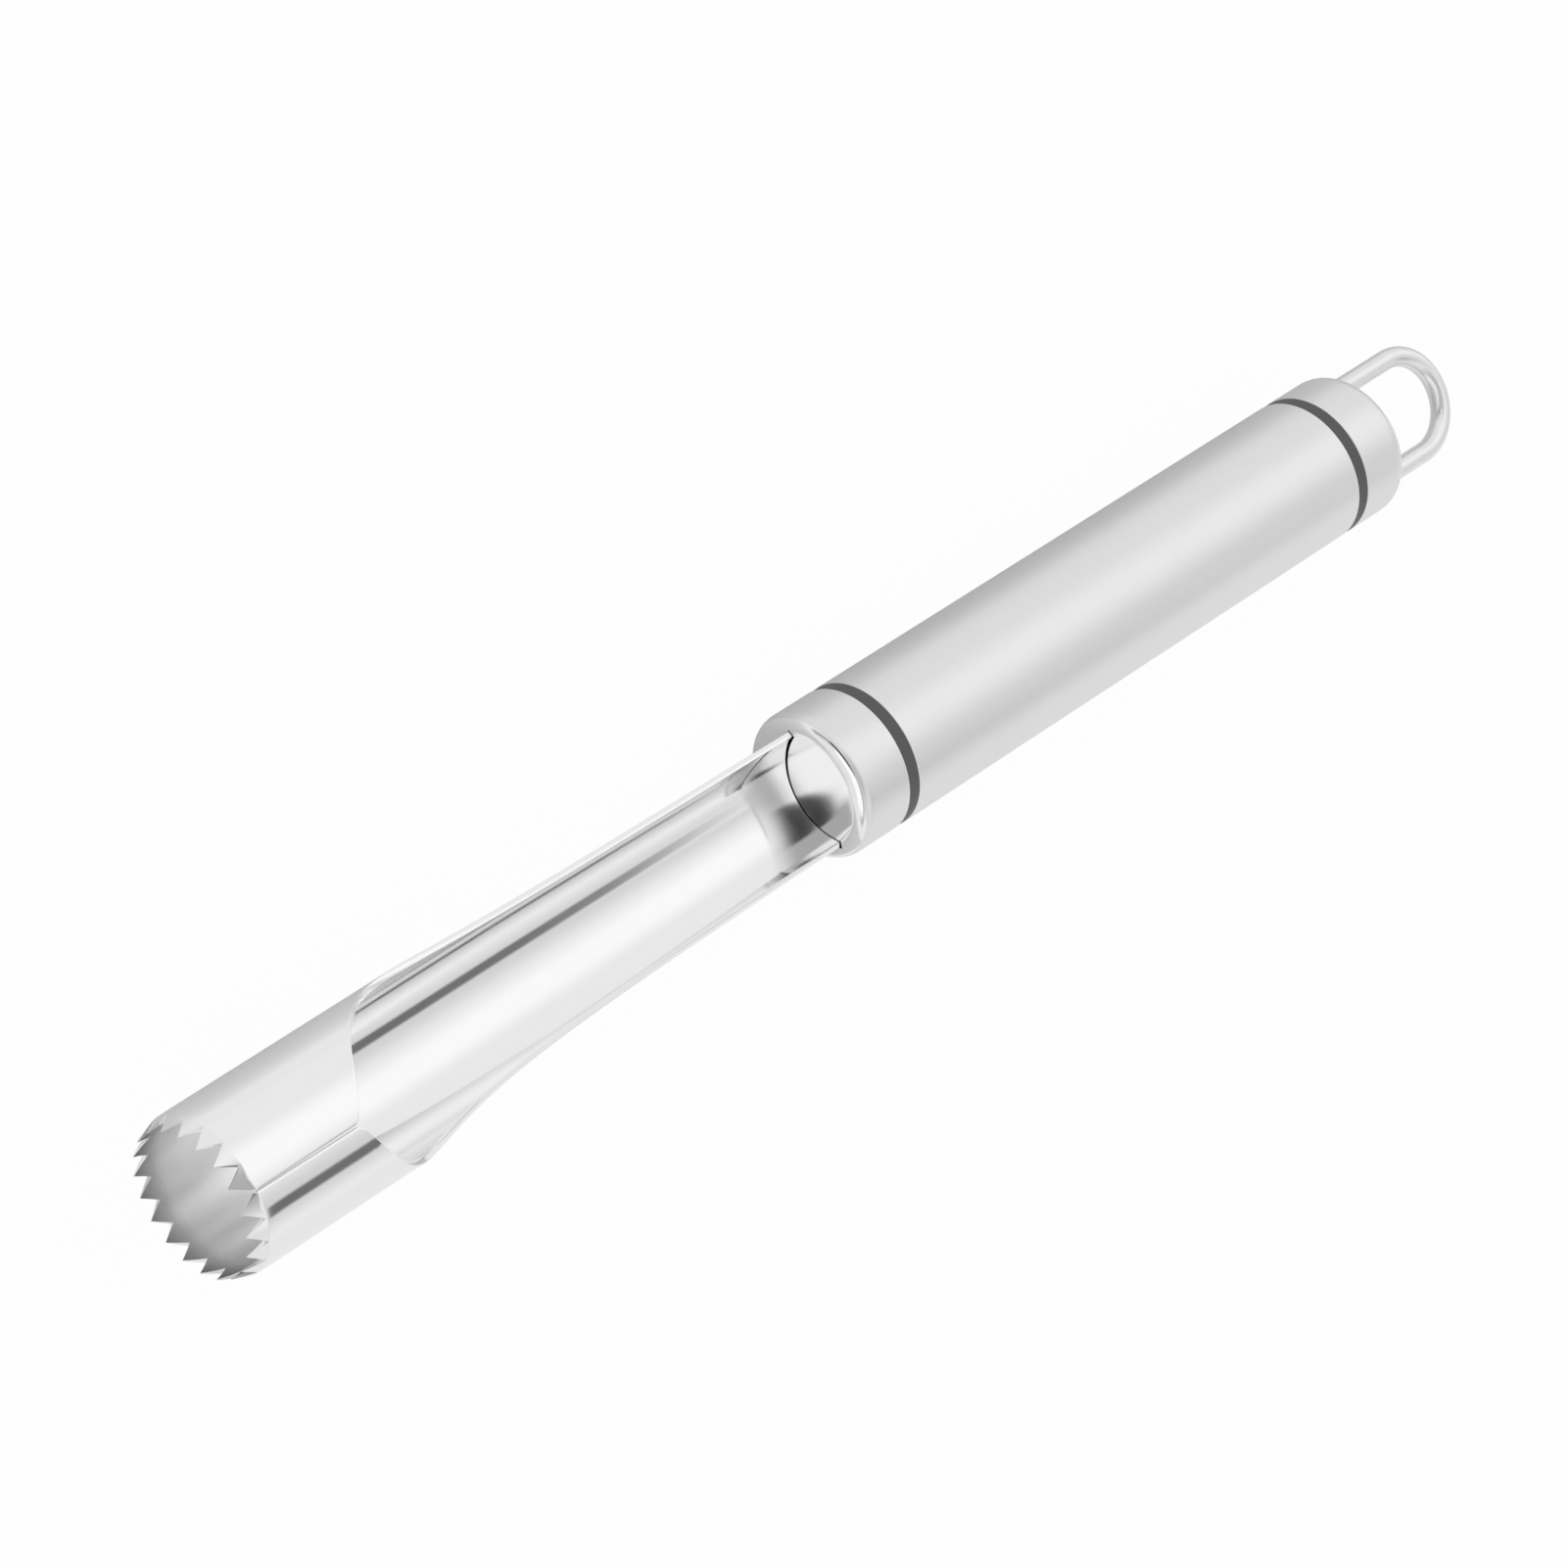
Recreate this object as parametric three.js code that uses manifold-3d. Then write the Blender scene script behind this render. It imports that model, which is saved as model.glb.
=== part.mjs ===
// Apple corer: a toothed steel tube that opens into a trough, in a round steel handle with a hanging loop.
// Millimetres, +Z up. The handle's axis runs along X, with the teeth at -X and the loop at +X.
// The trough is open upward.
// Stations along X are counted from the flat face of the front cap until the whole tool is placed at the end.

import * as THREE from 'three';
import { mergeVertices } from 'three/addons/utils/BufferGeometryUtils.js';
import Module from 'manifold-3d';

const wasm = await Module();
wasm.setup();

// Handle
const handleDiameter = 19;
const tubeLength = 82.3;
const shellWall = 1;
const ringWidth = 1.7;
const frontCapLength = 8.4;
const endCapLength = 8.3;
const frontEdgeRadius = 2;
const endEdgeRadius = 2.4;

// Hanging loop
const wireDiameter = 2.6;
const legInset = 0.3;
const loopReach = 18.5;
const legDepth = 15;

// Blade, one sheet of steel
const sheetThickness = 0.8;
const bladeLength = 103.2;
const boreTubeDiameter = 20;
const bladeDrop = 2.4;
const toothCount = 20;
const toothDepth = 2.4;
const crimpDepth = 0.78;
const crimpLength = 5;
const seamLength = 17.65;
const seamGapAtTeeth = 0.1;
const seamGapAtMouth = 0.35;
const mouthRounding = 0.5;
const sideFall = 11.6;
const troughWidth = 18.4;
const neckLength = 51;
const neckRadius = 8.8;
const shoulderLength = 0.6;
const tangWidth = 10;
const tangDepth = 18;

// Cores inside the handle
const insertDepth = 24;
const pinDiameter = 3;
const pinSetback = 9;
const pinRecess = 0.6;

// Clearances
const fitGap = 0.2;
const slotGap = 0.3;

// Facets
const roundSides = 48;
const wireSides = 12;
const pinSides = 24;
const edgeSteps = 5;
const loopSteps = 44;
const mouthSteps = 4;
const sideSteps = 13;
const rowCrowding = 1.6;
const weldTolerance = 1e-5;

// Sizes that follow from the driving dimensions
const handleRadius = handleDiameter / 2;
const boreRadius = handleRadius - shellWall;
const insertRadius = boreRadius - fitGap;
const boreTubeRadius = boreTubeDiameter / 2;
const wireRadius = wireDiameter / 2;
const legOffset = insertRadius - legInset - fitGap - wireRadius;
const pinRadius = pinDiameter / 2;

// Radius inside a cap's rounded edge, and the depth at which its cavity is at full width.
const innerEdgeRadius = (edgeRadius) => Math.max(edgeRadius - shellWall, fitGap);
const cavityDepth = (edgeRadius) => shellWall + innerEdgeRadius(edgeRadius);

// Stations along X
const frontRingX = frontCapLength;
const tubeX = frontRingX + ringWidth;
const rearRingX = tubeX + tubeLength;
const endCapX = rearRingX + ringWidth;
const handleEndX = endCapX + endCapLength;
const loopEndX = handleEndX + loopReach;
const toothTipX = -bladeLength;
const mouthX = toothTipX + seamLength;
const shoulderX = cavityDepth(frontEdgeRadius);
const tangX = shoulderX + shoulderLength;
const tangEndX = tubeX + tangDepth;
const pinX = tubeX + pinSetback;
const rearInsertEndX = handleEndX - cavityDepth(endEdgeRadius) - fitGap;

// Materials
const brushedSteel = new THREE.MeshStandardMaterial({ color: 0xc4c6c8, roughness: 0.38, metalness: 1 });
const polishedSteel = new THREE.MeshStandardMaterial({ color: 0xd9dbdd, roughness: 0.08, metalness: 1 });
const darkPlastic = new THREE.MeshStandardMaterial({ color: 0x48494b, roughness: 0.6, metalness: 0 });
const corePlastic = new THREE.MeshStandardMaterial({ color: 0x2f3133, roughness: 0.7, metalness: 0 });

// Solids

function closedSolid(geometry) {
  const bare = geometry.clone();
  bare.deleteAttribute('normal');
  bare.deleteAttribute('uv');
  const merged = mergeVertices(bare, weldTolerance);
  const corners = merged.index.array;
  const triangles = [];
  for (let i = 0; i < corners.length; i += 3) {
    const [a, b, c] = [corners[i], corners[i + 1], corners[i + 2]];
    if (a !== b && b !== c && c !== a) triangles.push(a, b, c);
  }
  return new wasm.Manifold(new wasm.Mesh({
    numProp: 3,
    vertProperties: new Float32Array(merged.attributes.position.array),
    triVerts: new Uint32Array(triangles),
  }));
}

function piece(name, solid, material) {
  const mesh = solid.getMesh();
  const geometry = new THREE.BufferGeometry();
  geometry.setAttribute('position', new THREE.BufferAttribute(new Float32Array(mesh.vertProperties), 3));
  geometry.setIndex(new THREE.BufferAttribute(new Uint32Array(mesh.triVerts), 1));
  geometry.computeVertexNormals();
  const part = new THREE.Mesh(geometry, material);
  part.name = name;
  return part;
}

// A profile of [radius, station] points turned about X, with a flat facet facing down.
function turned(profile) {
  const points = profile.map(([radius, station]) => new THREE.Vector2(radius, station));
  const geometry = new THREE.LatheGeometry(points, roundSides, Math.PI / roundSides);
  return closedSolid(geometry.rotateZ(-Math.PI / 2));
}

function ring(outer, inner, start, end) {
  return turned([[inner, start], [outer, start], [outer, end], [inner, end], [inner, start]]);
}

function plug(radius, start, end) {
  return turned([[0, start], [radius, start], [radius, end], [0, end]]);
}

// A shape drawn in Y and Z, drawn out along X.
function bar(shape, start, end) {
  const geometry = new THREE.ExtrudeGeometry(shape, { depth: end - start, bevelEnabled: false });
  const toX = new THREE.Matrix4().makeBasis(
    new THREE.Vector3(0, 1, 0),
    new THREE.Vector3(0, 0, 1),
    new THREE.Vector3(1, 0, 0),
  );
  return closedSolid(geometry.applyMatrix4(toX).translate(start, 0, 0));
}

function upright(radius, halfHeight, x) {
  const geometry = new THREE.CylinderGeometry(radius, radius, 2 * halfHeight, pinSides);
  return closedSolid(geometry.rotateX(Math.PI / 2).translate(x, 0, 0));
}

function polygon(radius, sides, y = 0) {
  const points = [];
  for (let i = 0; i < sides; i += 1) {
    const angle = (2 * Math.PI * i) / sides;
    points.push(new THREE.Vector2(y + radius * Math.cos(angle), radius * Math.sin(angle)));
  }
  return new THREE.Shape(points);
}

// Caps: drawn cups with a flat face and a rounded edge

function arcPoints(radius, centreRadius, centreStation, from, to) {
  const points = [];
  for (let i = 0; i <= edgeSteps; i += 1) {
    const angle = from + ((to - from) * i) / edgeSteps;
    points.push([centreRadius + radius * Math.cos(angle), centreStation + radius * Math.sin(angle)]);
  }
  return points;
}

// Profile of a cup whose flat face is at depth 0.
function cupProfile(length, edgeRadius) {
  const quarter = Math.PI / 2;
  const innerRadius = innerEdgeRadius(edgeRadius);
  return [
    [0, 0],
    ...arcPoints(edgeRadius, handleRadius - edgeRadius, edgeRadius, -quarter, 0),
    [handleRadius, length],
    [boreRadius, length],
    ...arcPoints(innerRadius, boreRadius - innerRadius, cavityDepth(edgeRadius), 0, -quarter),
    [0, shellWall],
  ];
}

// Cross-section of the neck, grown by a clearance: the slot that a strip of the given width passes through.
function neckSlot(width, gap) {
  const centre = neckRadius - bladeDrop;
  const half = (width / 2 + gap) / neckRadius;
  const down = -Math.PI / 2;
  const slot = new THREE.Shape();
  slot.absarc(0, centre, neckRadius + gap, down - half, down + half, false);
  slot.absarc(0, centre, neckRadius - sheetThickness - gap, down + half, down - half, true);
  return slot;
}

function frontCap() {
  const slot = bar(neckSlot(troughWidth, slotGap), -shellWall, tangX + fitGap);
  return turned(cupProfile(frontCapLength, frontEdgeRadius)).subtract(slot);
}

function legHole(side, start, end) {
  return bar(polygon(wireRadius + fitGap, wireSides, side * legOffset), start, end);
}

function endCap() {
  const profile = cupProfile(endCapLength, endEdgeRadius);
  const facingBack = profile.map(([radius, depth]) => [radius, handleEndX - depth]).reverse();
  const outside = handleEndX + shellWall;
  const holes = legHole(1, rearInsertEndX, outside).add(legHole(-1, rearInsertEndX, outside));
  return turned(facingBack).subtract(holes);
}

// Cores

function pinHole() {
  return upright(pinRadius + fitGap, handleRadius, pinX);
}

function frontInsert() {
  const start = tangX + fitGap;
  const end = tubeX + insertDepth;
  const slot = bar(neckSlot(tangWidth, slotGap), start - fitGap, end + fitGap);
  return plug(insertRadius, start, end).subtract(slot).subtract(pinHole());
}

function tangPin() {
  return upright(pinRadius, insertRadius - pinRecess, pinX);
}

function rearInsert() {
  const legEnd = handleEndX - legDepth - fitGap;
  const mouth = rearInsertEndX + fitGap;
  const holes = legHole(1, legEnd, mouth).add(legHole(-1, legEnd, mouth));
  return plug(insertRadius, rearRingX - insertDepth, rearInsertEndX).subtract(holes);
}

// Hanging loop: two straight legs joined by a half circle

class LoopPath extends THREE.Curve {
  getPoint(t) {
    const bendX = loopEndX - wireRadius - legOffset;
    const leg = bendX - (handleEndX - legDepth);
    const bend = Math.PI * legOffset;
    const along = t * (2 * leg + bend);
    if (along <= leg) return new THREE.Vector3(bendX - leg + along, legOffset, 0);
    if (along >= leg + bend) return new THREE.Vector3(bendX + leg + bend - along, -legOffset, 0);
    const angle = (along - leg) / legOffset;
    return new THREE.Vector3(bendX + legOffset * Math.sin(angle), legOffset * Math.cos(angle), 0);
  }
}

function hangingLoop() {
  const geometry = new THREE.ExtrudeGeometry(polygon(wireRadius, wireSides), {
    extrudePath: new LoopPath(),
    steps: loopSteps,
    bevelEnabled: false,
  });
  return closedSolid(geometry);
}

// Blade: a sheet laid out in rows across the tool, each bent to an arc over the straight bottom line

const columns = 2 * toothCount;

function bodyRadius(x) {
  const along = THREE.MathUtils.clamp((x + neckLength) / neckLength, 0, 1);
  return THREE.MathUtils.lerp(boreTubeRadius, neckRadius, along);
}

function outerRadius(x) {
  const toCrimpEnd = Math.max(0, toothTipX + crimpLength - x);
  return bodyRadius(x) - (crimpDepth * toCrimpEnd) / crimpLength;
}

// Half of the angle that the sheet wraps where the tube is closed but for its seam.
function closedHalf(x) {
  const along = (x - toothTipX) / seamLength;
  const gap = THREE.MathUtils.lerp(seamGapAtTeeth, seamGapAtMouth, along);
  return Math.PI - gap / 2 / outerRadius(x);
}

// Half of the angle behind the mouth, where the sides fall away to the trough.
function openHalf(x) {
  const rise = closedHalf(mouthX) * boreTubeRadius - troughWidth / 2;
  return (troughWidth / 2 + rise * Math.exp(-(x - mouthX) / sideFall)) / bodyRadius(x);
}

function mouthRows() {
  const endX = mouthX + mouthRounding;
  const corner = new THREE.QuadraticBezierCurve(
    new THREE.Vector2(mouthX - mouthRounding, closedHalf(mouthX - mouthRounding)),
    new THREE.Vector2(mouthX, closedHalf(mouthX)),
    new THREE.Vector2(endX, openHalf(endX)),
  );
  return corner.getPoints(mouthSteps).map((point) => [point.x, point.y]);
}

// Stations close together behind the mouth and wider apart towards the handle.
function sideRows() {
  const startX = mouthX + mouthRounding;
  const rows = [];
  for (let i = 1; i < sideSteps; i += 1) {
    const x = startX - startX * (i / sideSteps) ** rowCrowding;
    rows.push([x, openHalf(x)]);
  }
  return rows;
}

// Each row is a pair of lists, of outer and of inner points.
function bentRow(half, stationOf) {
  const outer = [];
  const inner = [];
  for (let column = 0; column <= columns; column += 1) {
    const x = stationOf(column);
    const angle = half(x) * ((2 * column) / columns - 1);
    const radius = outerRadius(x);
    const centre = bodyRadius(x) - bladeDrop;
    const innerRadius = radius - sheetThickness;
    outer.push([x, radius * Math.sin(angle), centre - radius * Math.cos(angle)]);
    inner.push([x, innerRadius * Math.sin(angle), centre - innerRadius * Math.cos(angle)]);
  }
  return [outer, inner];
}

function bladeRows() {
  const troughHalf = troughWidth / 2 / neckRadius;
  const tangHalf = tangWidth / 2 / neckRadius;
  const stations = [
    [toothTipX + toothDepth + sheetThickness, null],
    [toothTipX + crimpLength, null],
    ...mouthRows(),
    ...sideRows(),
    [0, openHalf(0)],
    [shoulderX, troughHalf],
    [tangX, tangHalf],
    [tangEndX, tangHalf],
  ];
  const teeth = bentRow(closedHalf, (column) => toothTipX + (column % 2 === 0 ? toothDepth : 0));
  return [teeth, ...stations.map(([x, half]) => bentRow(half === null ? closedHalf : () => half, () => x))];
}

function sheetSolid(rows) {
  const across = columns + 1;
  const positions = [];
  const index = [];
  for (const side of [0, 1]) {
    for (const row of rows) positions.push(...row[side].flat());
  }
  const at = (side, row, column) => (side * rows.length + row) * across + column;
  const quad = (a, b, c, d) => index.push(a, d, c, a, c, b);
  for (let row = 0; row + 1 < rows.length; row += 1) {
    for (let column = 0; column < columns; column += 1) {
      quad(at(0, row, column), at(0, row + 1, column), at(0, row + 1, column + 1), at(0, row, column + 1));
      quad(at(1, row, column), at(1, row, column + 1), at(1, row + 1, column + 1), at(1, row + 1, column));
    }
    quad(at(0, row, 0), at(1, row, 0), at(1, row + 1, 0), at(0, row + 1, 0));
    quad(at(0, row + 1, columns), at(1, row + 1, columns), at(1, row, columns), at(0, row, columns));
  }
  const last = rows.length - 1;
  for (let column = 0; column < columns; column += 1) {
    quad(at(0, 0, column), at(0, 0, column + 1), at(1, 0, column + 1), at(1, 0, column));
    quad(at(0, last, column + 1), at(0, last, column), at(1, last, column), at(1, last, column + 1));
  }
  const geometry = new THREE.BufferGeometry();
  geometry.setAttribute('position', new THREE.Float32BufferAttribute(positions, 3));
  geometry.setIndex(index);
  return closedSolid(geometry);
}

function corerBlade() {
  return sheetSolid(bladeRows()).subtract(pinHole());
}

// The whole tool, set down on the handle's lowest facet and centred along X

const corer = new THREE.Group();
corer.add(
  piece('corer_blade', corerBlade(), polishedSteel),
  piece('front_cap', frontCap(), brushedSteel),
  piece('front_ring', ring(handleRadius, boreRadius, frontRingX, tubeX), darkPlastic),
  piece('front_insert', frontInsert(), corePlastic),
  piece('tang_pin', tangPin(), polishedSteel),
  piece('handle_tube', ring(handleRadius, boreRadius, tubeX, rearRingX), brushedSteel),
  piece('rear_ring', ring(handleRadius, boreRadius, rearRingX, endCapX), darkPlastic),
  piece('rear_insert', rearInsert(), corePlastic),
  piece('end_cap', endCap(), brushedSteel),
  piece('hanging_loop', hangingLoop(), polishedSteel),
);
corer.position.set(-(toothTipX + loopEndX) / 2, 0, handleRadius * Math.cos(Math.PI / roundSides));

export default corer;
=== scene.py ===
"""An apple corer on a white studio floor: a polished toothed tube and trough in a satin steel handle.

The solids of the frame give the main places and sizes. Shapes are worked out in millimetres in the frame's
own axes and become metres when a mesh is made.
"""

import math

import bmesh
import bpy
from mathutils import Matrix, Vector


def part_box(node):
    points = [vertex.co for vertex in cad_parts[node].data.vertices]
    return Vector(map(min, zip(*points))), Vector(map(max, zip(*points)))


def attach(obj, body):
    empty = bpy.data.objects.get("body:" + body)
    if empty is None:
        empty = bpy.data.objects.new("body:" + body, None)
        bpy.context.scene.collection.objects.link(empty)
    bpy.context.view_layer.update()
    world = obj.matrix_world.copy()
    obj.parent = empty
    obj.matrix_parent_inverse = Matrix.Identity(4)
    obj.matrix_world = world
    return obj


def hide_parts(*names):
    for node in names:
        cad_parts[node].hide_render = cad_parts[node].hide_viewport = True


MM = 0.001
QUARTER = math.pi / 2

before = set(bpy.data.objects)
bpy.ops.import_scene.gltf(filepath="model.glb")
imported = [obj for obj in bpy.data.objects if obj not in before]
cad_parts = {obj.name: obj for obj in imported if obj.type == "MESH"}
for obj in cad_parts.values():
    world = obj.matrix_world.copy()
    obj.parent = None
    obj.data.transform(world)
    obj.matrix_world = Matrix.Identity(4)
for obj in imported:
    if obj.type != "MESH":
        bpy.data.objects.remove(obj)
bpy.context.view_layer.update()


def extent(node):
    """A node's lowest and highest corners in millimetres."""
    low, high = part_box(node)
    return low / MM, high / MM


# Handle. A short straight row beside each round edge keeps the shading of the flats even.
SOLID_SIDES = 48
FRONT_EDGE_RADIUS = 2.0
FRONT_CROWN = 0.3
FRONT_EDGE_SETBACK = 0.2
END_EDGE_RADIUS = 2.4
SHELL_WALL = 1.0
EDGE_BREAK = 0.12
RING_RECESS = 0.05
STRAIGHT = 0.04
CUTTER_OVERSHOOT = 1
tube_low, tube_high = extent("handle_tube")
AXIS_Z = (tube_low.z + tube_high.z) / 2
HANDLE_RADIUS = (tube_high.y - tube_low.y) / 2 / math.cos(math.pi / SOLID_SIDES)
BORE_RADIUS = HANDLE_RADIUS - SHELL_WALL
FACE_X = extent("front_cap")[0].x
END_X = extent("end_cap")[1].x

# Blade
SHEET = 0.8
BLADE_DROP = 2.4
TEETH = 20
TOOTH_DEPTH = 2.4
TIP_WALL = 0.12
TIP_TURN = 0.22
BEVEL_LENGTH = 2.5
BEVEL_LEAD = 4.5
BEVEL_LEAD_DROP = 0.05
SEAM_LENGTH = 17.65
SEAM_GAP_AT_TEETH = 0.1
SEAM_GAP_AT_MOUTH = 0.35
MOUTH_ROUNDING = 0.5
SIDE_FALL = 11.6
TROUGH_WIDTH = 18.4
NECK_LENGTH = 51.0
NECK_RADIUS = 8.8
NECK_CURVE = 1.3
SHOULDER_DEPTH = 2.0
SHOULDER_LENGTH = 0.6
TANG_WIDTH = 10.0
SLOT_GAP = 0.16
SLOT_SHIFT = -0.07
blade_low, blade_high = extent("corer_blade")
TUBE_RADIUS = (blade_high.y - blade_low.y) / 2
TIP_X = blade_low.x
TANG_END_X = blade_high.x
MOUTH_X = TIP_X + SEAM_LENGTH

# Hanging loop
loop_low, loop_high = extent("hanging_loop")
WIRE_RADIUS = (loop_high.z - loop_low.z) / 2
LEG_OFFSET = (loop_high.y - loop_low.y) / 2 - WIRE_RADIUS
LOOP_END_X = loop_high.x
LEG_START_X = loop_low.x
WIRE_HOLE_GAP = 0.1

# Facets
ROUND_SIDES = 192
EDGE_STEPS = 12
BREAK_STEPS = 3
CROWN_STEPS = 12
TOOTH_COLUMNS = 12
BEVEL_ROWS = 6
SLOT_STEPS = 64
WIRE_SIDES = 40
LOOP_STEPS = 64
WELD_DISTANCE = 1e-4
SHARP_ABOVE = {"plain": 50, "sheet": 38, "turned": 32}


# Meshes

def mesh_piece(name, points, faces, material, sharp_above):
    """A smooth closed mesh from points in millimetres, with sharp edges above the given angle in degrees."""
    mesh = bpy.data.meshes.new(name)
    mesh.from_pydata([Vector(point) * MM for point in points], [], faces)
    tidy = bmesh.new()
    tidy.from_mesh(mesh)
    bmesh.ops.remove_doubles(tidy, verts=tidy.verts, dist=MM * WELD_DISTANCE)
    bmesh.ops.recalc_face_normals(tidy, faces=tidy.faces)
    tidy.to_mesh(mesh)
    tidy.free()
    piece = bpy.data.objects.new(name, mesh)
    bpy.context.scene.collection.objects.link(piece)
    smooth(mesh, sharp_above)
    if material is not None:
        mesh.materials.append(material)
    return piece


def smooth(mesh, sharp_above):
    mesh.shade_smooth()
    mesh.set_sharp_from_angle(angle=math.radians(sharp_above))


def loft(rows, closed_ends):
    """Faces between rows of equal length that each go round once. Returns points and faces."""
    size = len(rows[0])
    points = [point for row in rows for point in row]
    faces = []
    for row in range(len(rows) - 1):
        for i in range(size):
            j = (i + 1) % size
            a, b = row * size, (row + 1) * size
            faces.append((a + i, a + j, b + j, b + i))
    if closed_ends:
        last = (len(rows) - 1) * size
        faces.append(tuple(range(size)))
        faces.append(tuple(range(last, last + size)))
    return points, faces


def turned(profile):
    """Rows of points from a profile of (radius, x) pairs turned about the handle's axis."""
    angles = [2 * math.pi * i / ROUND_SIDES for i in range(ROUND_SIDES)]
    rows = []
    for radius, x in profile:
        rows.append([(x, radius * math.sin(a), AXIS_Z + radius * math.cos(a)) for a in angles])
    return rows


def carve(piece, cutter):
    """Cuts one mesh out of a turned one and removes the cutter."""
    cut = piece.modifiers.new("cut", "BOOLEAN")
    cut.operation = "DIFFERENCE"
    cut.solver = "EXACT"
    cut.object = cutter
    bpy.context.view_layer.update()
    result = bpy.data.meshes.new_from_object(piece.evaluated_get(bpy.context.evaluated_depsgraph_get()))
    piece.modifiers.clear()
    old = piece.data
    piece.data = result
    bpy.data.meshes.remove(old)
    bpy.data.objects.remove(cutter)
    smooth(result, SHARP_ABOVE["turned"])


def arc(radius, centre_radius, centre_x, start, end, steps):
    """Points of a profile's round corner, with angles from the radial direction towards +X."""
    points = []
    for i in range(steps + 1):
        angle = start + (end - start) * i / steps
        points.append((centre_radius + radius * math.cos(angle), centre_x + radius * math.sin(angle)))
    return points


# Materials

class Graph:
    """Adds nodes to a tree, with short calls for the sums that the materials and the world need."""

    def __init__(self, tree):
        self.tree = tree

    def node(self, kind, **settings):
        made = self.tree.nodes.new(kind)
        for name, value in settings.items():
            setattr(made, name, value)
        return made

    def feed(self, socket, value):
        if isinstance(value, bpy.types.NodeSocket):
            self.tree.links.new(value, socket)
        else:
            socket.default_value = value

    def math(self, operation, *values):
        made = self.node("ShaderNodeMath", operation=operation)
        for socket, value in zip(made.inputs, values):
            self.feed(socket, value)
        return made.outputs[0]

    def mix(self, share, first, second):
        """Goes from first to second as share goes from 0 to 1."""
        made = self.node("ShaderNodeMix", data_type="FLOAT")
        factor, _, a, b = made.inputs[:4]
        self.feed(factor, share)
        self.feed(a, first)
        self.feed(b, second)
        return made.outputs[0]

    def place(self, axis):
        """The place along an axis in metres, in the frame that every piece shares."""
        split = self.node("ShaderNodeSeparateXYZ")
        self.feed(split.inputs[0], self.node("ShaderNodeTexCoord").outputs["Object"])
        return split.outputs[axis]

    def ramp(self, value, start, end):
        """A smooth step from 0 at start to 1 at end."""
        made = self.node("ShaderNodeMapRange", interpolation_type="SMOOTHSTEP")
        self.feed(made.inputs["Value"], value)
        made.inputs["From Min"].default_value = start
        made.inputs["From Max"].default_value = end
        return made.outputs[0]


# Finishes. Grains, bumps, borders and lengths are in millimetres. A spread is how far a value varies.

# Polished steel
POLISHED_GREY = 0.9
POLISHED_GREY_SPREAD = 0.01
POLISHED_ROUGHNESS = 0.09
POLISHED_ROUGHNESS_SPREAD = 0.02
POLISHED_CLOUD = (6, 4, 4)
POLISHED_DETAIL = 3

# Ground steel in the bore and on the bevel of the teeth
# The bore's grey at the tips, and the length over which it rises to the deep grey, are painted shade
BORE_GREY_WITH_PAINTED_SHADE = {"deep": 0.79, "tips": 0.24}
BORE_PAINTED_SHADE_LENGTH = 4.5
BORE_ROUGHNESS = 0.27
BORE_FADE_LENGTH = 8
BEVEL_GREY = 0.88
BEVEL_ROUGHNESS = 0.2
BEVEL_BORDER = 0.05
INWARD_SHARE = 0.5

# Satin steel, brushed round the handle
SATIN_GREY = 0.8
SATIN_GREY_SPREAD = 0.03
SATIN_ROUGHNESS = 0.33
SATIN_ROUGHNESS_SPREAD = 0.04
SATIN_CLOUD = (9, 9, 9)
SATIN_DETAIL = 2
BRUSHING = (0.09, 3.0, 3.0)
BRUSHING_BUMP = 0.002

# Front cap
FACE_ROUGHNESS = 0.1
POLISHED_ROUND = math.radians(57)
CAP_BORDER = 0.02

# Wire
WIRE_GREY = 0.82
WIRE_ROUGHNESS = 0.26
WIRE_GRAIN = (0.3, 0.3, 0.3)
WIRE_DETAIL = 2
WIRE_BUMP = 0.008

# Plastic
PLASTIC_GREY_SPREAD = 0.15
PLASTIC_ROUGHNESS = (0.42, 0.58)
PLASTIC_DETAIL = 3
PLASTIC_BUMP = 0.01
RING_GREY = 0.085
RING_GRAIN = 0.25
CORE_GREY = 0.05
CORE_GRAIN = 0.5


def new_material(name, metallic):
    material = bpy.data.materials.new(name)
    material.use_nodes = True
    shader = material.node_tree.nodes["Principled BSDF"]
    shader.inputs["Metallic"].default_value = metallic
    return material, Graph(material.node_tree), shader.inputs


def stretched_noise(graph, size, detail):
    """Noise in 0 to 1 whose grains have the given sizes along X, Y and Z."""
    scaled = graph.node("ShaderNodeVectorMath", operation="MULTIPLY")
    graph.feed(scaled.inputs[0], graph.node("ShaderNodeTexCoord").outputs["Object"])
    scaled.inputs[1].default_value = [1 / (MM * length) for length in size]
    noise = graph.node("ShaderNodeTexNoise")
    noise.inputs["Scale"].default_value = 1
    noise.inputs["Detail"].default_value = detail
    graph.feed(noise.inputs["Vector"], scaled.outputs[0])
    return noise.outputs["Fac"]


def grey(graph, level):
    made = graph.node("ShaderNodeCombineColor")
    for socket in made.inputs:
        graph.feed(socket, level)
    return made.outputs[0]


def roughen(graph, inputs, noise, height):
    """Bumps of a height in millimetres."""
    bump = graph.node("ShaderNodeBump")
    bump.inputs["Strength"].default_value = 1
    bump.inputs["Distance"].default_value = MM * height
    graph.feed(bump.inputs["Height"], noise)
    graph.feed(inputs["Normal"], bump.outputs[0])


def varied(graph, noise, value, spread):
    """A value that goes down and up by a spread with the noise."""
    return graph.mix(noise, value - spread, value + spread)


def satin_finish(graph):
    """Grey level, roughness and grain of steel brushed round the handle."""
    lines = stretched_noise(graph, BRUSHING, SATIN_DETAIL)
    cloud = stretched_noise(graph, SATIN_CLOUD, SATIN_DETAIL)
    roughness = varied(graph, cloud, SATIN_ROUGHNESS, SATIN_ROUGHNESS_SPREAD)
    return varied(graph, lines, SATIN_GREY, SATIN_GREY_SPREAD), roughness, lines


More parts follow.
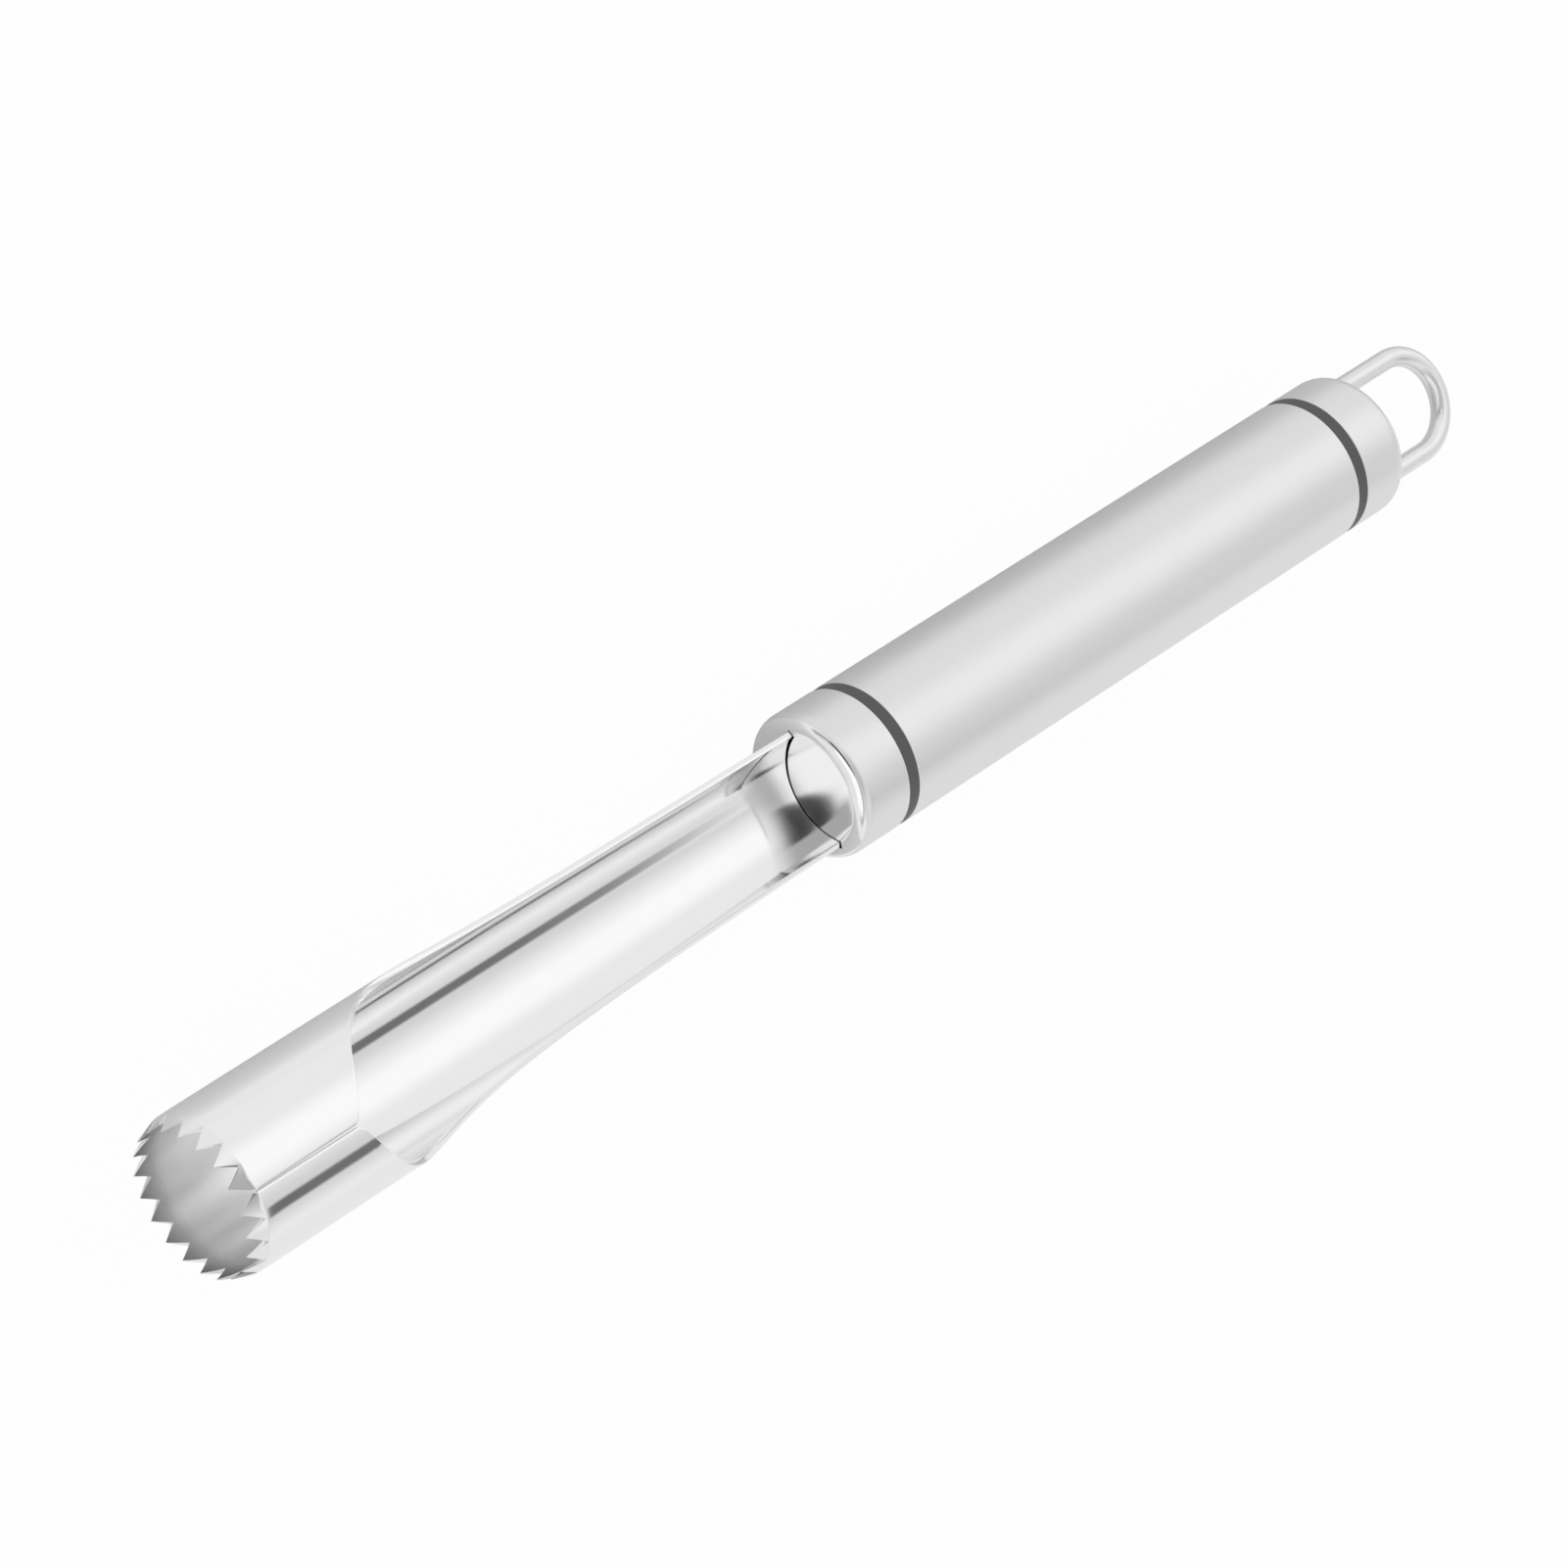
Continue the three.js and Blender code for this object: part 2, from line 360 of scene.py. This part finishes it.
def polished_finish(graph, level, roughness):
    """Grey level and roughness of polished steel with faint clouds."""
    cloud = stretched_noise(graph, POLISHED_CLOUD, POLISHED_DETAIL)
    clouded_level = varied(graph, cloud, level, POLISHED_GREY_SPREAD)
    return clouded_level, varied(graph, cloud, roughness, POLISHED_ROUGHNESS_SPREAD)


def make_satin():
    material, graph, inputs = new_material("satin_steel", metallic=1)
    level, roughness, lines = satin_finish(graph)
    graph.feed(inputs["Base Color"], grey(graph, level))
    graph.feed(inputs["Roughness"], roughness)
    roughen(graph, inputs, lines, BRUSHING_BUMP)
    return material


def make_polished():
    material, graph, inputs = new_material("polished_steel", metallic=1)
    level, roughness = polished_finish(graph, POLISHED_GREY, POLISHED_ROUGHNESS)
    graph.feed(inputs["Base Color"], grey(graph, level))
    graph.feed(inputs["Roughness"], roughness)
    return material


def make_wire_steel():
    """Steel wire that was tumbled smooth, duller than the blade."""
    material, graph, inputs = new_material("wire_steel", metallic=1)
    level, roughness = polished_finish(graph, WIRE_GREY, WIRE_ROUGHNESS)
    graph.feed(inputs["Base Color"], grey(graph, level))
    graph.feed(inputs["Roughness"], roughness)
    roughen(graph, inputs, stretched_noise(graph, WIRE_GRAIN, WIRE_DETAIL), WIRE_BUMP)
    return material


def make_cap_steel():
    """Satin steel whose front face and most of the round beside it are polished."""
    material, graph, inputs = new_material("front_cap_steel", metallic=1)
    satin_level, satin_roughness, lines = satin_finish(graph)
    polished_level, polished_roughness = polished_finish(graph, POLISHED_GREY, FACE_ROUGHNESS)
    border = FACE_X + FRONT_EDGE_SETBACK + FRONT_EDGE_RADIUS * (1 - math.cos(POLISHED_ROUND))
    brushed = graph.ramp(graph.place("X"), MM * (border - CAP_BORDER), MM * (border + CAP_BORDER))
    graph.feed(inputs["Base Color"], grey(graph, graph.mix(brushed, polished_level, satin_level)))
    graph.feed(inputs["Roughness"], graph.mix(brushed, polished_roughness, satin_roughness))
    roughen(graph, inputs, graph.math("MULTIPLY", lines, brushed), BRUSHING_BUMP)
    return material


def make_blade_steel():
    """Polished steel, ground satin on the teeth's bevel and in the bore, where painted shade darkens the
    bore to the tips.
    """
    material, graph, inputs = new_material("blade_steel", metallic=1)
    level, roughness = polished_finish(graph, POLISHED_GREY, POLISHED_ROUGHNESS)
    centre = MM * (AXIS_Z - BLADE_DROP + TUBE_RADIUS)
    radial = graph.node("ShaderNodeCombineXYZ")
    graph.feed(radial.inputs["Y"], graph.place("Y"))
    graph.feed(radial.inputs["Z"], graph.math("SUBTRACT", graph.place("Z"), centre))
    outward = graph.node("ShaderNodeVectorMath", operation="DOT_PRODUCT")
    graph.feed(outward.inputs[0], radial.outputs[0])
    graph.feed(outward.inputs[1], graph.node("ShaderNodeNewGeometry").outputs["Normal"])
    inward = graph.math("LESS_THAN", outward.outputs["Value"], -MM * TUBE_RADIUS * INWARD_SHARE)
    bore = graph.ramp(graph.place("X"), MM * MOUTH_X, MM * (MOUTH_X - BORE_FADE_LENGTH))
    bevel_end = TIP_X + BEVEL_LENGTH
    bevel = graph.ramp(graph.place("X"), MM * (bevel_end + BEVEL_BORDER), MM * (bevel_end - BEVEL_BORDER))
    ground = graph.mix(inward, bevel, bore)
    # Painted shade: the bore's grey falls towards the tooth tips
    painted_shade_ramp = graph.ramp(graph.place("X"), MM * TIP_X, MM * (TIP_X + BORE_PAINTED_SHADE_LENGTH))
    bore_level_with_painted_shade = graph.mix(painted_shade_ramp, BORE_GREY_WITH_PAINTED_SHADE["tips"], BORE_GREY_WITH_PAINTED_SHADE["deep"])
    ground_level = graph.mix(inward, BEVEL_GREY, bore_level_with_painted_shade)
    graph.feed(inputs["Base Color"], grey(graph, graph.mix(ground, level, ground_level)))
    ground_roughness = graph.mix(inward, BEVEL_ROUGHNESS, BORE_ROUGHNESS)
    graph.feed(inputs["Roughness"], graph.mix(ground, roughness, ground_roughness))
    return material


def make_plastic(name, level, grain):
    material, graph, inputs = new_material(name, metallic=0)
    speckle = stretched_noise(graph, (grain, grain, grain), PLASTIC_DETAIL)
    speckled_level = varied(graph, speckle, level, PLASTIC_GREY_SPREAD * level)
    graph.feed(inputs["Base Color"], grey(graph, speckled_level))
    graph.feed(inputs["Roughness"], graph.mix(speckle, *PLASTIC_ROUGHNESS))
    roughen(graph, inputs, speckle, PLASTIC_BUMP)
    return material


satin = make_satin()
polished = make_polished()
wire_steel = make_wire_steel()
cap_steel = make_cap_steel()
blade_steel = make_blade_steel()
ring_plastic = make_plastic("ring_plastic", RING_GREY, RING_GRAIN)
core_plastic = make_plastic("core_plastic", CORE_GREY, CORE_GRAIN)


# Blade

def body_radius(x):
    along = min(max((x - FACE_X + NECK_LENGTH) / NECK_LENGTH, 0), 1)
    return TUBE_RADIUS + (NECK_RADIUS - TUBE_RADIUS) * along ** NECK_CURVE


def inner_radius(x):
    """The bore, which turns in a little at the teeth."""
    toward_tip = max(0, 1 - (x - TIP_X) / BEVEL_LENGTH)
    return body_radius(x) - SHEET - TIP_TURN * toward_tip ** 2


def outer_radius(x):
    """The outside, which eases in ahead of the bevel that is ground on the teeth."""
    from_tip = x - TIP_X
    if from_tip >= BEVEL_LENGTH:
        eased = max(0, BEVEL_LEAD - from_tip) / (BEVEL_LEAD - BEVEL_LENGTH)
        return body_radius(x) - BEVEL_LEAD_DROP * eased ** 2
    tip = TUBE_RADIUS - SHEET - TIP_TURN + TIP_WALL
    return tip + (TUBE_RADIUS - BEVEL_LEAD_DROP - tip) * from_tip / BEVEL_LENGTH


def closed_half(x):
    along = (x - TIP_X) / SEAM_LENGTH
    gap = SEAM_GAP_AT_TEETH + (SEAM_GAP_AT_MOUTH - SEAM_GAP_AT_TEETH) * along
    return math.pi - gap / 2 / outer_radius(x)


def open_half(x):
    rise = closed_half(MOUTH_X) * TUBE_RADIUS - TROUGH_WIDTH / 2
    return (TROUGH_WIDTH / 2 + rise * math.exp((MOUTH_X - x) / SIDE_FALL)) / body_radius(x)


def sheet_half(x):
    """Half of the angle that the sheet wraps at a station: closed along the seam, then falling away."""
    if x <= MOUTH_X - MOUTH_ROUNDING:
        return closed_half(x)
    if x >= MOUTH_X + MOUTH_ROUNDING:
        return open_half(x)
    t = (x - MOUTH_X + MOUTH_ROUNDING) / (2 * MOUTH_ROUNDING)
    before = closed_half(MOUTH_X - MOUTH_ROUNDING)
    corner = closed_half(MOUTH_X)
    after = open_half(MOUTH_X + MOUTH_ROUNDING)
    return (1 - t) ** 2 * before + 2 * t * (1 - t) * corner + t ** 2 * after


def sheet_point(x, angle, share):
    """A point of the sheet at a share of its thickness, 0 on the outside and 1 on the inside."""
    radius = outer_radius(x) + (inner_radius(x) - outer_radius(x)) * share
    centre = AXIS_Z - BLADE_DROP + body_radius(x)
    return (x, radius * math.sin(angle), centre - radius * math.cos(angle))


def sheet_row(place, half_at):
    """One row round the sheet: the outer face, an edge, back along the inner face, the other edge."""
    columns = TEETH * TOOTH_COLUMNS
    outer, inner = [], []
    for i in range(columns + 1):
        share = 2 * i / columns - 1
        x = place(i)
        broken = half_at(x) - EDGE_BREAK / outer_radius(x)
        outer.append(sheet_point(x, share * broken, 0))
        inner.append(sheet_point(x, share * broken, 1))
    corner = EDGE_BREAK * (1 - math.sqrt(0.5))
    broken_share = EDGE_BREAK / SHEET
    corner_share = corner / SHEET
    edges = []
    for side, i in ((1, columns), (-1, 0)):
        x = place(i)
        half = half_at(x)
        inset = corner / outer_radius(x)
        shares = (corner_share, broken_share, 1 - broken_share, 1 - corner_share)
        angles = (half - inset, half, half, half - inset)
        edges.append([sheet_point(x, side * a, share) for a, share in zip(angles, shares)])
    return outer + edges[0] + inner[::-1] + edges[1][::-1]


def tooth_place(share):
    """Stations along a row near the teeth: the full saw at share 0, a straight row at share 1."""
    straight = TIP_X + BEVEL_LENGTH

    def place(i):
        phase = (i % TOOTH_COLUMNS) / TOOTH_COLUMNS
        saw = TIP_X + TOOTH_DEPTH * abs(2 * phase - 1)
        return saw + (straight - saw) * share

    return place


def spread(start, end, step):
    """Even stations from start up to but without end, about a step apart."""
    count = max(1, round((end - start) / step))
    return [start + (end - start) * i / count for i in range(count)]


def blade_rows():
    """Rows from the tooth tips to the tang's end, closest together at the mouth."""
    rows = [sheet_row(tooth_place(row / BEVEL_ROWS), sheet_half) for row in range(BEVEL_ROWS)]
    shoulder = FACE_X + SHOULDER_DEPTH
    start = TIP_X + BEVEL_LENGTH
    stations = []
    # Each stretch has its end and the step between its rows
    for end, step in (
        (TIP_X + BEVEL_LEAD, 0.3),
        (MOUTH_X - MOUTH_ROUNDING, 1.0),
        (MOUTH_X + MOUTH_ROUNDING, 0.08),
        (MOUTH_X + 3 * MOUTH_ROUNDING, 0.25),
        (MOUTH_X + 2 * SIDE_FALL, 0.6),
        (shoulder, 1.2),
    ):
        stations += spread(start, end, step)
        start = end
    rows += [sheet_row(lambda i, x=x: x, sheet_half) for x in stations]
    trough = TROUGH_WIDTH / 2 / NECK_RADIUS
    tang = TANG_WIDTH / 2 / NECK_RADIUS
    rows.append(sheet_row(lambda i: shoulder, lambda x: trough))
    rows.append(sheet_row(lambda i: shoulder + SHOULDER_LENGTH, lambda x: tang))
    rows.append(sheet_row(lambda i: TANG_END_X, lambda x: tang))
    return rows


def end_strip(start, size):
    """Faces that close the sheet's thickness at a row, from its first point's number and its size."""
    columns = TEETH * TOOTH_COLUMNS
    edge = size // 2 - columns - 1
    inner_end = start + columns + 1 + edge + columns
    faces = []
    for i in range(columns):
        faces.append((start + i, start + i + 1, inner_end - i - 1, inner_end - i))
    faces.append(tuple(start + columns + i for i in range(edge + 2)))
    faces.append(tuple(start + (inner_end - start + i) % size for i in range(edge + 2)))
    return faces


def make_blade():
    rows = blade_rows()
    size = len(rows[0])
    points, faces = loft(rows, closed_ends=False)
    faces += end_strip(0, size)
    faces += end_strip((len(rows) - 1) * size, size)
    return mesh_piece("polished_blade", points, faces, blade_steel, SHARP_ABOVE["sheet"])


# Caps, rings and tube

def cup_profile(length, edge_radius, crown, setback):
    """A cup's profile as (radius, depth) pairs, from the middle of its face round to its inner face."""
    hollow_radius = max(edge_radius - SHELL_WALL, EDGE_BREAK)
    hollow_flat = BORE_RADIUS - hollow_radius
    flat_radius = HANDLE_RADIUS - edge_radius
    lean = math.atan(2 * crown / flat_radius)
    edge = arc(edge_radius, flat_radius, setback + edge_radius, lean - QUARTER, 0, EDGE_STEPS)
    face_radius, face_depth = edge[0]
    shares = [(i + 1) / CROWN_STEPS for i in range(CROWN_STEPS - 1)]
    return [
        *[(share * face_radius, face_depth - crown * (1 - share ** 2)) for share in shares],
        *edge,
        (HANDLE_RADIUS, setback + edge_radius + STRAIGHT),
        (HANDLE_RADIUS, length - EDGE_BREAK - STRAIGHT),
        *arc(EDGE_BREAK, HANDLE_RADIUS - EDGE_BREAK, length - EDGE_BREAK, 0, QUARTER, BREAK_STEPS),
        (BORE_RADIUS, length),
        *arc(hollow_radius, hollow_flat, SHELL_WALL + hollow_radius, 0, -QUARTER, EDGE_STEPS),
    ]


def neck_slot():
    """The slot that the blade's neck passes through, as a prism along X."""
    centre = AXIS_Z - BLADE_DROP + NECK_RADIUS
    half = (TROUGH_WIDTH / 2 + SLOT_GAP) / NECK_RADIUS
    section = []
    for radius, sign in ((NECK_RADIUS + SLOT_GAP, 1), (NECK_RADIUS - SHEET - SLOT_GAP, -1)):
        for i in range(SLOT_STEPS + 1):
            angle = sign * half * (2 * i / SLOT_STEPS - 1)
            section.append((SLOT_SHIFT + radius * math.sin(angle), centre - radius * math.cos(angle)))
    ends = (FACE_X - CUTTER_OVERSHOOT, FACE_X + SHOULDER_DEPTH + SHOULDER_LENGTH)
    rows = [[(x, y, z) for y, z in section] for x in ends]
    points, faces = loft(rows, closed_ends=True)
    return mesh_piece("neck_slot", points, faces, None, SHARP_ABOVE["plain"])


def make_front_cap():
    low, high = extent("front_cap")
    cup = cup_profile(high.x - low.x, FRONT_EDGE_RADIUS, FRONT_CROWN, FRONT_EDGE_SETBACK)
    profile = [(radius, low.x + depth) for radius, depth in cup]
    points, faces = loft(turned(profile), closed_ends=True)
    cap = mesh_piece("front_cap_shell", points, faces, cap_steel, SHARP_ABOVE["turned"])
    carve(cap, neck_slot())
    return cap


def wire_hole(side):
    """A hole for one leg of the loop, on the +Y side for 1 and the other for -1."""
    radius = WIRE_RADIUS + WIRE_HOLE_GAP
    angles = [2 * math.pi * i / WIRE_SIDES for i in range(WIRE_SIDES)]
    section = [(side * LEG_OFFSET + radius * math.cos(a), AXIS_Z + radius * math.sin(a)) for a in angles]
    ends = (END_X - 2 * END_EDGE_RADIUS, END_X + CUTTER_OVERSHOOT)
    rows = [[(x, y, z) for y, z in section] for x in ends]
    points, faces = loft(rows, closed_ends=True)
    return mesh_piece("wire_hole", points, faces, None, SHARP_ABOVE["plain"])


def make_end_cap():
    low, high = extent("end_cap")
    cup = cup_profile(high.x - low.x, END_EDGE_RADIUS, crown=0, setback=0)
    profile = [(radius, high.x - depth) for radius, depth in cup]
    points, faces = loft(turned(profile), closed_ends=True)
    cap = mesh_piece("end_cap_shell", points, faces, satin, SHARP_ABOVE["turned"])
    for side in (1, -1):
        carve(cap, wire_hole(side))
    return cap


def make_band(name, node, radius, material):
    """A turned tube as long as a node, with broken edges."""
    low, high = extent(node)
    edge = radius - EDGE_BREAK
    profile = [
        (BORE_RADIUS, low.x),
        *arc(EDGE_BREAK, edge, low.x + EDGE_BREAK, -QUARTER, 0, BREAK_STEPS),
        (radius, low.x + EDGE_BREAK + STRAIGHT),
        (radius, high.x - EDGE_BREAK - STRAIGHT),
        *arc(EDGE_BREAK, edge, high.x - EDGE_BREAK, 0, QUARTER, BREAK_STEPS),
        (BORE_RADIUS, high.x),
    ]
    rows = turned(profile)
    points, faces = loft(rows + rows[:1], closed_ends=False)
    return mesh_piece(name, points, faces, material, SHARP_ABOVE["turned"])


def make_ring(name, node):
    return make_band(name, node, HANDLE_RADIUS - RING_RECESS, ring_plastic)


# Hanging loop

def loop_path():
    """Centres and outward directions along the wire."""
    bend_x = LOOP_END_X - WIRE_RADIUS - LEG_OFFSET
    path = [(LEG_START_X, 1, 0), (bend_x - STRAIGHT, 1, 0)]
    for i in range(LOOP_STEPS + 1):
        angle = math.pi * i / LOOP_STEPS
        path.append((bend_x, math.cos(angle), math.sin(angle)))
    path += [(bend_x - STRAIGHT, -1, 0), (LEG_START_X, -1, 0)]
    return path


def make_loop():
    rows = []
    for x, across, along in loop_path():
        row = []
        for i in range(WIRE_SIDES):
            angle = 2 * math.pi * i / WIRE_SIDES
            reach = LEG_OFFSET + WIRE_RADIUS * math.cos(angle)
            row.append((x + reach * along, reach * across, AXIS_Z + WIRE_RADIUS * math.sin(angle)))
        rows.append(row)
    points, faces = loft(rows, closed_ends=True)
    return mesh_piece("wire_loop", points, faces, wire_steel, SHARP_ABOVE["plain"])


# The object

for piece, node, slot in (
    (make_blade(), "corer_blade", "polished_steel"),
    (make_front_cap(), "front_cap", "brushed_steel"),
    (make_ring("front_ring_band", "front_ring"), "front_ring", "ring_plastic"),
    (make_band("handle_shell", "handle_tube", HANDLE_RADIUS, satin), "handle_tube", "brushed_steel"),
    (make_ring("rear_ring_band", "rear_ring"), "rear_ring", "ring_plastic"),
    (make_end_cap(), "end_cap", "brushed_steel"),
    (make_loop(), "hanging_loop", "polished_steel"),
):
    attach(piece, "root")
    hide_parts(node)

# Pieces inside the handle keep their solids and get a finish
for node, material in (
    ("front_insert", core_plastic),
    ("rear_insert", core_plastic),
    ("tang_pin", polished),
):
    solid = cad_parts[node]
    solid.data.materials.clear()
    solid.data.materials.append(material)


# Stage: a white floor inside a white tent

# Floor, in millimetres
FLOOR_DEPTH = 0.05
FLOOR_HALF_SIDE = 3000
FLOOR_PAINT = 0.75
FLOOR_GLOW_TO_CAMERA = 0.97
FLOOR_GLOW_TO_METAL = {"open": 0.68, "beside_tool": 0.0}
# The steel sees painted shadow on the floor: a band across the tool and a patch by the front cap
FLOOR_SHADE_ACROSS = {"start": -15, "deepest": 10, "end": 90}
FLOOR_SHADE_BY_CAP = {"along": (-48, -12), "across": (-60, -8), "softness": 8}

# Tent, with angles in degrees
TENT_LEVEL = 0.9
CAMERA_SIDE = {"level": 0.45, "along": (-0.53, -0.45)}
SIDE_WALL = {"centre": -45, "half_width": 22, "softness": 30, "level": 0.7}
PANEL = {"centre": 20, "half_width": 22, "softness": 28, "level": 1.05}
GAP = {"centre": -48, "half_width": 7, "softness": 4, "level": 0.16, "along": (0.44, 0.56)}
GAP_EDGE = {"centre": -48, "half_width": 12, "softness": 12, "level": 0.88, "along": (0.575, 0.8)}
OVERHEAD_GAP = {"centre": -5, "half_width": 30, "softness": 30, "level": 0.4, "along": (-0.36, -0.04)}
SIDE_PANEL = {"centre": -42, "half_width": 20, "softness": 10, "level": 0.97, "along": (-0.25, 0.2)}
FRONT_WALL = {"centre": 0, "half_width": 110, "softness": 20, "level": 0.84, "along": (-1.02, -0.72)}
FRONT_PANEL = {"centre": -18, "half_width": 62, "softness": 24, "level": 1.08, "along": (-0.86, -0.585)}
LENS_OPENING = {"centre": 24, "half_width": 32, "softness": 5, "level": 0.02, "along": (-0.655, -0.53)}
LENS_OPENING_EDGE = (0.756, 0.337, 0.561)
LENS_OPENING_EDGE_RAMP = (-0.02, 0.01)
STRIP_END_SOFTNESS = 0.015

# Camera, in millimetres
CAMERA_PLACE = Vector((-438.29, 147.66, 584.93))
CAMERA_TOWARD = Vector((0.58430, -0.19908, -0.78674))
CAMERA_UPWARD = Vector((0.43688, 0.89414, 0.09821))
CAMERA_LENS = 142.82
CAMERA_SENSOR = 36

# Light runs round the inside of the polished trough in many bounces
MIRROR_BOUNCES = 20


def inside(graph, distance, zone):
    """1 within a zone's half width of its centre and 0 outside, with a soft edge."""
    edge = math.radians(zone["half_width"])
    soft = math.radians(zone["softness"]) / 2
    return graph.math("SUBTRACT", 1, graph.ramp(distance, edge - soft, edge + soft))


def make_world():
    """The tent's brightness by direction: wide panels first, then the strips that show in the steel.

    A zone's angles go round the tool's length, 0 upward and 90 towards +Y. A strip also has ends along the
    tool, given as the part of a direction that lies on X.
    """
    world = bpy.data.worlds.new("studio")
    world.use_nodes = True
    graph = Graph(world.node_tree)
    direction = graph.node("ShaderNodeTexCoord").outputs["Generated"]
    split = graph.node("ShaderNodeSeparateXYZ")
    graph.feed(split.inputs[0], direction)
    along, across, up = split.outputs
    round_tool = graph.math("ARCTAN2", across, up)

    def from_angle(zone):
        return graph.math("ABSOLUTE", graph.math("SUBTRACT", round_tool, math.radians(zone["centre"])))

    def in_strip(zone):
        start, end = zone["along"]
        past_start = graph.ramp(along, start - STRIP_END_SOFTNESS, start)
        before_end = graph.ramp(along, end + STRIP_END_SOFTNESS, end)
        within = graph.math("MULTIPLY", past_start, before_end)
        return graph.math("MULTIPLY", inside(graph, from_angle(zone), zone), within)

    level = TENT_LEVEL
    for zone in (SIDE_WALL, PANEL):
        level = graph.mix(inside(graph, from_angle(zone), zone), level, zone["level"])
    level = graph.mix(graph.ramp(along, *CAMERA_SIDE["along"]), CAMERA_SIDE["level"], level)
    for zone in (GAP, GAP_EDGE, SIDE_PANEL, OVERHEAD_GAP, FRONT_WALL, FRONT_PANEL):
        level = graph.mix(in_strip(zone), level, zone["level"])
    beyond_edge = graph.node("ShaderNodeVectorMath", operation="DOT_PRODUCT")
    graph.feed(beyond_edge.inputs[0], direction)
    beyond_edge.inputs[1].default_value = LENS_OPENING_EDGE
    past_edge = graph.ramp(beyond_edge.outputs["Value"], *LENS_OPENING_EDGE_RAMP)
    opening = graph.math("MULTIPLY", in_strip(LENS_OPENING), past_edge)
    level = graph.mix(opening, level, LENS_OPENING["level"])
    background = world.node_tree.nodes["Background"].inputs
    graph.feed(background["Strength"], level)
    background["Color"].default_value = (1, 1, 1, 1)
    bpy.context.scene.world = world


def floor_white():
    """White to the camera and dimmer in the steel, with painted shadow that darkens it most beside the tool
    and by the front cap.
    """
    material = bpy.data.materials.new("floor_white")
    material.use_nodes = True
    graph = Graph(material.node_tree)
    material.node_tree.nodes.clear()
    paint = graph.node("ShaderNodeBsdfDiffuse")
    paint.inputs["Color"].default_value = (FLOOR_PAINT, FLOOR_PAINT, FLOOR_PAINT, 1)
    glow = graph.node("ShaderNodeEmission")
    ray = graph.node("ShaderNodeLightPath").outputs
    to_metal = graph.math("MAXIMUM", ray["Is Glossy Ray"], ray["Is Transmission Ray"])
    # Painted shadow, seen only in the steel: a band beside the tool and a patch by the front cap
    start, deepest, end = [MM * place for place in FLOOR_SHADE_ACROSS.values()]
    shade = graph.ramp(graph.place("Y"), start, deepest)
    shade = graph.math("MULTIPLY", shade, graph.ramp(graph.place("Y"), end, deepest))
    by_cap = 1
    soft = MM * FLOOR_SHADE_BY_CAP["softness"]
    for axis, side in (("X", "along"), ("Y", "across")):
        start, end = [MM * place for place in FLOOR_SHADE_BY_CAP[side]]
        by_cap = graph.math("MULTIPLY", graph.ramp(graph.place(axis), start - soft, start), by_cap)
        by_cap = graph.math("MULTIPLY", graph.ramp(graph.place(axis), end + soft, end), by_cap)
    shade = graph.math("MAXIMUM", shade, by_cap)
    glow_to_metal = graph.mix(shade, FLOOR_GLOW_TO_METAL["open"], FLOOR_GLOW_TO_METAL["beside_tool"])
    share = graph.math("MULTIPLY", to_metal, glow_to_metal)
    share = graph.math("MULTIPLY_ADD", ray["Is Camera Ray"], FLOOR_GLOW_TO_CAMERA, share)
    blend = graph.node("ShaderNodeMixShader")
    graph.feed(blend.inputs[0], share)
    graph.feed(blend.inputs[1], paint.outputs[0])
    graph.feed(blend.inputs[2], glow.outputs[0])
    graph.feed(graph.node("ShaderNodeOutputMaterial").inputs["Surface"], blend.outputs[0])
    return material


def make_floor():
    half = MM * FLOOR_HALF_SIDE
    level = -MM * FLOOR_DEPTH
    corners = [(-half, -half, level), (half, -half, level), (half, half, level), (-half, half, level)]
    mesh = bpy.data.meshes.new("floor")
    mesh.from_pydata(corners, [], [(0, 1, 2, 3)])
    floor = bpy.data.objects.new("floor", mesh)
    bpy.context.scene.collection.objects.link(floor)
    mesh.materials.append(floor_white())


def make_camera():
    """A long lens above the teeth, with the picture's upward direction mostly along +Y."""
    toward = CAMERA_TOWARD.normalized()
    right = toward.cross(CAMERA_UPWARD).normalized()
    upward = right.cross(toward)
    camera = bpy.data.objects.new("camera", bpy.data.cameras.new("camera"))
    camera.data.lens = CAMERA_LENS
    camera.data.sensor_width = CAMERA_SENSOR
    turn = Matrix((right, upward, -toward)).transposed().to_4x4()
    camera.matrix_world = Matrix.Translation(CAMERA_PLACE * MM) @ turn
    bpy.context.scene.collection.objects.link(camera)
    bpy.context.scene.camera = camera


make_floor()
make_world()
make_camera()
bpy.context.scene.view_settings.view_transform = "Standard"
bpy.context.scene.cycles.max_bounces = MIRROR_BOUNCES
bpy.context.scene.cycles.glossy_bounces = MIRROR_BOUNCES
